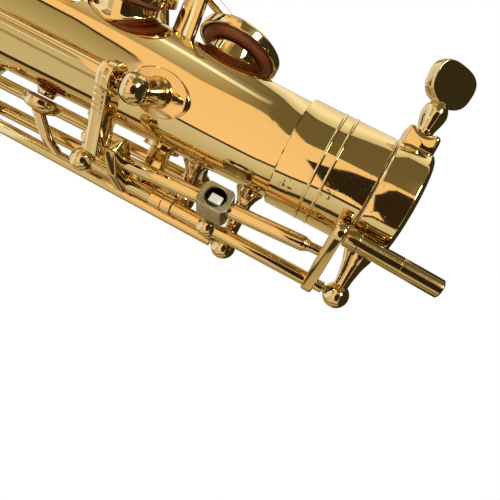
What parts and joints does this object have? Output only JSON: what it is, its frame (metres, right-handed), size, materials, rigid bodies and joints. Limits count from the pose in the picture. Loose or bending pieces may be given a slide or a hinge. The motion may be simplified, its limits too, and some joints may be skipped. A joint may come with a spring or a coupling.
{
  "type": "soprano saxophone body",
  "caption": "Straight soprano saxophone body in gold-lacquered brass with flared bell, clamp receiver for a neck, octave mechanism with pin, and hinged padded keys.",
  "frame": {"origin": "on the bore axis, in the plane of the bell rim", "axes": "+Z along the bore from the bell rim to the receiver, -Y the front with the stack keys, +X the player's left side"},
  "size_m": [0.09, 0.09, 0.6006],
  "materials": {
    "lacquered_brass": "polished under clear gold lacquer",
    "worn_brass": "lacquer worn off, slightly greenish raw brass",
    "bright_steel": "bright",
    "pad_leather": "smooth tan leather",
    "pearl": "pearly gloss",
    "black_plastic": "smooth"
  },
  "bodies": {
    "a_key": {"a_key": "lacquered_brass", "a_pearl": "pearl"},
    "b_key": {"b_key": "lacquered_brass", "b_pearl": "pearl"},
    "body": {"bell": "lacquered_brass", "bell_ring": "lacquered_brass", "body_tube": "lacquered_brass", "clamp_ring": "lacquered_brass", "left_rib": "lacquered_brass", "link_lower_post": "lacquered_brass", "link_post": "lacquered_brass", "lower_stack_rib": "lacquered_brass", "pin_key_lower_post": "lacquered_brass", "pin_key_post": "lacquered_brass", "receiver_sleeve": "lacquered_brass", "side_key_lower_post": "lacquered_brass", "side_key_upper_post": "lacquered_brass", "spine_guide": "lacquered_brass", "strap_ring": "lacquered_brass", "table_key_lower_post": "lacquered_brass", "table_key_upper_post": "lacquered_brass", "thumb_hook": "lacquered_brass", "thumb_lever_bracket": "lacquered_brass", "thumb_rest": "black_plastic", "upper_stack_rib": "lacquered_brass", "vent_key_lower_post": "lacquered_brass", "vent_key_middle_post": "lacquered_brass", "vent_key_upper_post": "lacquered_brass"},
    "c_key": {"c_key": "lacquered_brass"},
    "d_key": {"d_key": "lacquered_brass"},
    "e_flat_key": {"e_flat_key": "lacquered_brass"},
    "e_key": {"e_key": "lacquered_brass"},
    "f_key": {"f_key": "lacquered_brass"},
    "g_key": {"g_key": "lacquered_brass", "g_pearl": "pearl"},
    "g_sharp_key": {"g_sharp_key": "lacquered_brass"},
    "high_d_key": {"high_d_key": "lacquered_brass"},
    "high_e_flat_key": {"high_e_flat_key": "lacquered_brass", "high_e_flat_pad": "pad_leather"},
    "high_f_key": {"high_f_key": "lacquered_brass", "high_f_pad": "pad_leather"},
    "low_b_flat_key": {"low_b_flat_key": "lacquered_brass"},
    "low_b_key": {"low_b_key": "lacquered_brass"},
    "low_c_key": {"low_c_key": "lacquered_brass"},
    "low_c_sharp_key": {"low_c_sharp_key": "lacquered_brass"},
    "neck_screw": {"neck_screw": "lacquered_brass"},
    "octave_link": {"octave_link": "lacquered_brass"},
    "pin_key": {"octave_pin": "worn_brass", "pin_key_bar": "lacquered_brass", "pin_key_front_rod": "lacquered_brass", "pin_key_hinge_tube": "lacquered_brass", "pin_key_hook": "lacquered_brass", "pin_key_rear_rod": "lacquered_brass", "swivel_block": "worn_brass", "swivel_tongue": "bright_steel"},
    "octave_thumb_lever": {"octave_thumb_lever": "lacquered_brass"},
    "side_b_flat_key": {"side_b_flat_key": "lacquered_brass"},
    "side_c_key": {"side_c_key": "lacquered_brass"},
    "vent_key": {"vent_key": "lacquered_brass"}
  },
  "joints": [
    {"name": "neck_screw_turn", "type": "hinge", "parent": "body", "child": "neck_screw", "pos_m": [-0.0008, -0.01137, 0.5861], "axis": [-0.0698, -0.9976, 0], "continuous": true},
    {"name": "octave_thumb_press", "type": "hinge", "parent": "body", "child": "octave_thumb_lever", "pos_m": [0.007, 0.01749, 0.478], "axis": [1, 0, 0], "range_deg": [-8, 0], "stiffness_Nm_per_rad": 0.1, "springref_deg": 14.32},
    {"name": "octave_link_turn", "type": "hinge", "parent": "body", "child": "octave_link", "pos_m": [0.02077, 0.00237, 0.53585], "axis": [0, 0, 1], "range_deg": [-6.4, 0]},
    {"name": "octave_pin_swing", "type": "hinge", "parent": "body", "child": "pin_key", "pos_m": [0.00198, 0.0206, 0.5806], "axis": [0, 0, 1], "range_deg": [0, 7.4]},
    {"name": "octave_vent_open", "type": "hinge", "parent": "body", "child": "vent_key", "pos_m": [-0.002, 0.02382, 0.514], "axis": [0, 0, 1], "range_deg": [0, 10], "stiffness_Nm_per_rad": 0.06, "springref_deg": -14.32},
    {"name": "high_f_open", "type": "hinge", "parent": "body", "child": "high_f_key", "pos_m": [-0.01836, -0.00705, 0.5458], "axis": [0.0224, 0.0086, 0.9997], "range_deg": [-9, 0], "stiffness_Nm_per_rad": 0.08, "springref_deg": 11.46},
    {"name": "high_e_flat_open", "type": "hinge", "parent": "body", "child": "high_e_flat_key", "pos_m": [-0.01884, -0.00723, 0.5245], "axis": [0.0224, 0.0086, 0.9997], "range_deg": [-9, 0], "stiffness_Nm_per_rad": 0.08, "springref_deg": 11.46},
    {"name": "high_d_open", "type": "hinge", "parent": "body", "child": "high_d_key", "pos_m": [-0.01922, -0.00738, 0.5075], "axis": [0.0224, 0.0086, 0.9997], "range_deg": [-9, 0], "stiffness_Nm_per_rad": 0.08, "springref_deg": 11.46},
    {"name": "c_close", "type": "hinge", "parent": "body", "child": "c_key", "pos_m": [-0.01989, -0.00764, 0.4775], "axis": [0.0224, 0.0086, 0.9997], "range_deg": [0, 5], "stiffness_Nm_per_rad": 0.08, "springref_deg": -11.46},
    {"name": "b_close", "type": "hinge", "parent": "body", "child": "b_key", "pos_m": [-0.02039, -0.00783, 0.4554], "axis": [0.0224, 0.0086, 0.9997], "range_deg": [0, 5], "stiffness_Nm_per_rad": 0.08, "springref_deg": -11.46},
    {"name": "a_close", "type": "hinge", "parent": "body", "child": "a_key", "pos_m": [-0.02087, -0.00801, 0.4337], "axis": [0.0224, 0.0086, 0.9997], "range_deg": [0, 5], "stiffness_Nm_per_rad": 0.08, "springref_deg": -11.46},
    {"name": "g_close", "type": "hinge", "parent": "body", "child": "g_key", "pos_m": [-0.02139, -0.00821, 0.4106], "axis": [0.0224, 0.0086, 0.9997], "range_deg": [0, 5], "stiffness_Nm_per_rad": 0.08, "springref_deg": -11.46},
    {"name": "f_close", "type": "hinge", "parent": "body", "child": "f_key", "pos_m": [-0.02219, -0.00852, 0.375], "axis": [0.0224, 0.0086, 0.9997], "range_deg": [0, 5], "stiffness_Nm_per_rad": 0.12, "springref_deg": -11.46},
    {"name": "e_close", "type": "hinge", "parent": "body", "child": "e_key", "pos_m": [-0.02295, -0.00881, 0.341], "axis": [0.0224, 0.0086, 0.9997], "range_deg": [0, 5], "stiffness_Nm_per_rad": 0.12, "springref_deg": -11.46},
    {"name": "d_close", "type": "hinge", "parent": "body", "child": "d_key", "pos_m": [-0.02369, -0.00909, 0.308], "axis": [0.0224, 0.0086, 0.9997], "range_deg": [0, 5], "stiffness_Nm_per_rad": 0.12, "springref_deg": -11.46},
    {"name": "e_flat_open", "type": "hinge", "parent": "body", "child": "e_flat_key", "pos_m": [-0.02438, -0.00936, 0.277], "axis": [0.0224, 0.0086, 0.9997], "range_deg": [0, 7], "stiffness_Nm_per_rad": 0.12, "springref_deg": -11.46},
    {"name": "low_c_close", "type": "hinge", "parent": "body", "child": "low_c_key", "pos_m": [-0.02514, -0.00965, 0.243], "axis": [0.0224, 0.0086, 0.9997], "range_deg": [0, 5], "stiffness_Nm_per_rad": 0.12, "springref_deg": -11.46},
    {"name": "g_sharp_open", "type": "hinge", "parent": "body", "child": "g_sharp_key", "pos_m": [0.02219, -0.00595, 0.408], "axis": [-0.0232, 0.0062, 0.9997], "range_deg": [-9, 0], "stiffness_Nm_per_rad": 0.08, "springref_deg": 11.46},
    {"name": "side_c_open", "type": "hinge", "parent": "body", "child": "side_c_key", "pos_m": [-0.01311, 0.01702, 0.47], "axis": [0.0146, -0.019, 0.9997], "range_deg": [-7, 0], "stiffness_Nm_per_rad": 0.08, "springref_deg": 11.46},
    {"name": "side_b_flat_open", "type": "hinge", "parent": "body", "child": "side_b_flat_key", "pos_m": [-0.00652, 0.02246, 0.4325], "axis": [0.0067, -0.023, 0.9997], "range_deg": [0, 7], "stiffness_Nm_per_rad": 0.08, "springref_deg": -11.46},
    {"name": "low_c_sharp_open", "type": "hinge", "parent": "body", "child": "low_c_sharp_key", "pos_m": [0.02766, 0.00193, 0.21], "axis": [-0.0239, -0.0017, 0.9997], "range_deg": [-7, 0], "stiffness_Nm_per_rad": 0.12, "springref_deg": 11.46},
    {"name": "low_b_close", "type": "hinge", "parent": "body", "child": "low_b_key", "pos_m": [0.02495, -0.01326, 0.188], "axis": [-0.0212, 0.0113, 0.9997], "range_deg": [-5, 0], "stiffness_Nm_per_rad": 0.12, "springref_deg": 11.46},
    {"name": "low_b_flat_close", "type": "hinge", "parent": "body", "child": "low_b_flat_key", "pos_m": [0.0286, -0.00608, 0.147], "axis": [-0.0235, 0.005, 0.9997], "range_deg": [-5, 0], "stiffness_Nm_per_rad": 0.12, "springref_deg": 11.46}
  ],
  "couplings": [
    {"joint": "octave_link_turn", "follows": "octave_thumb_press", "ratio": 0.77},
    {"joint": "octave_pin_swing", "follows": "octave_thumb_press", "ratio": -0.89}
  ]
}
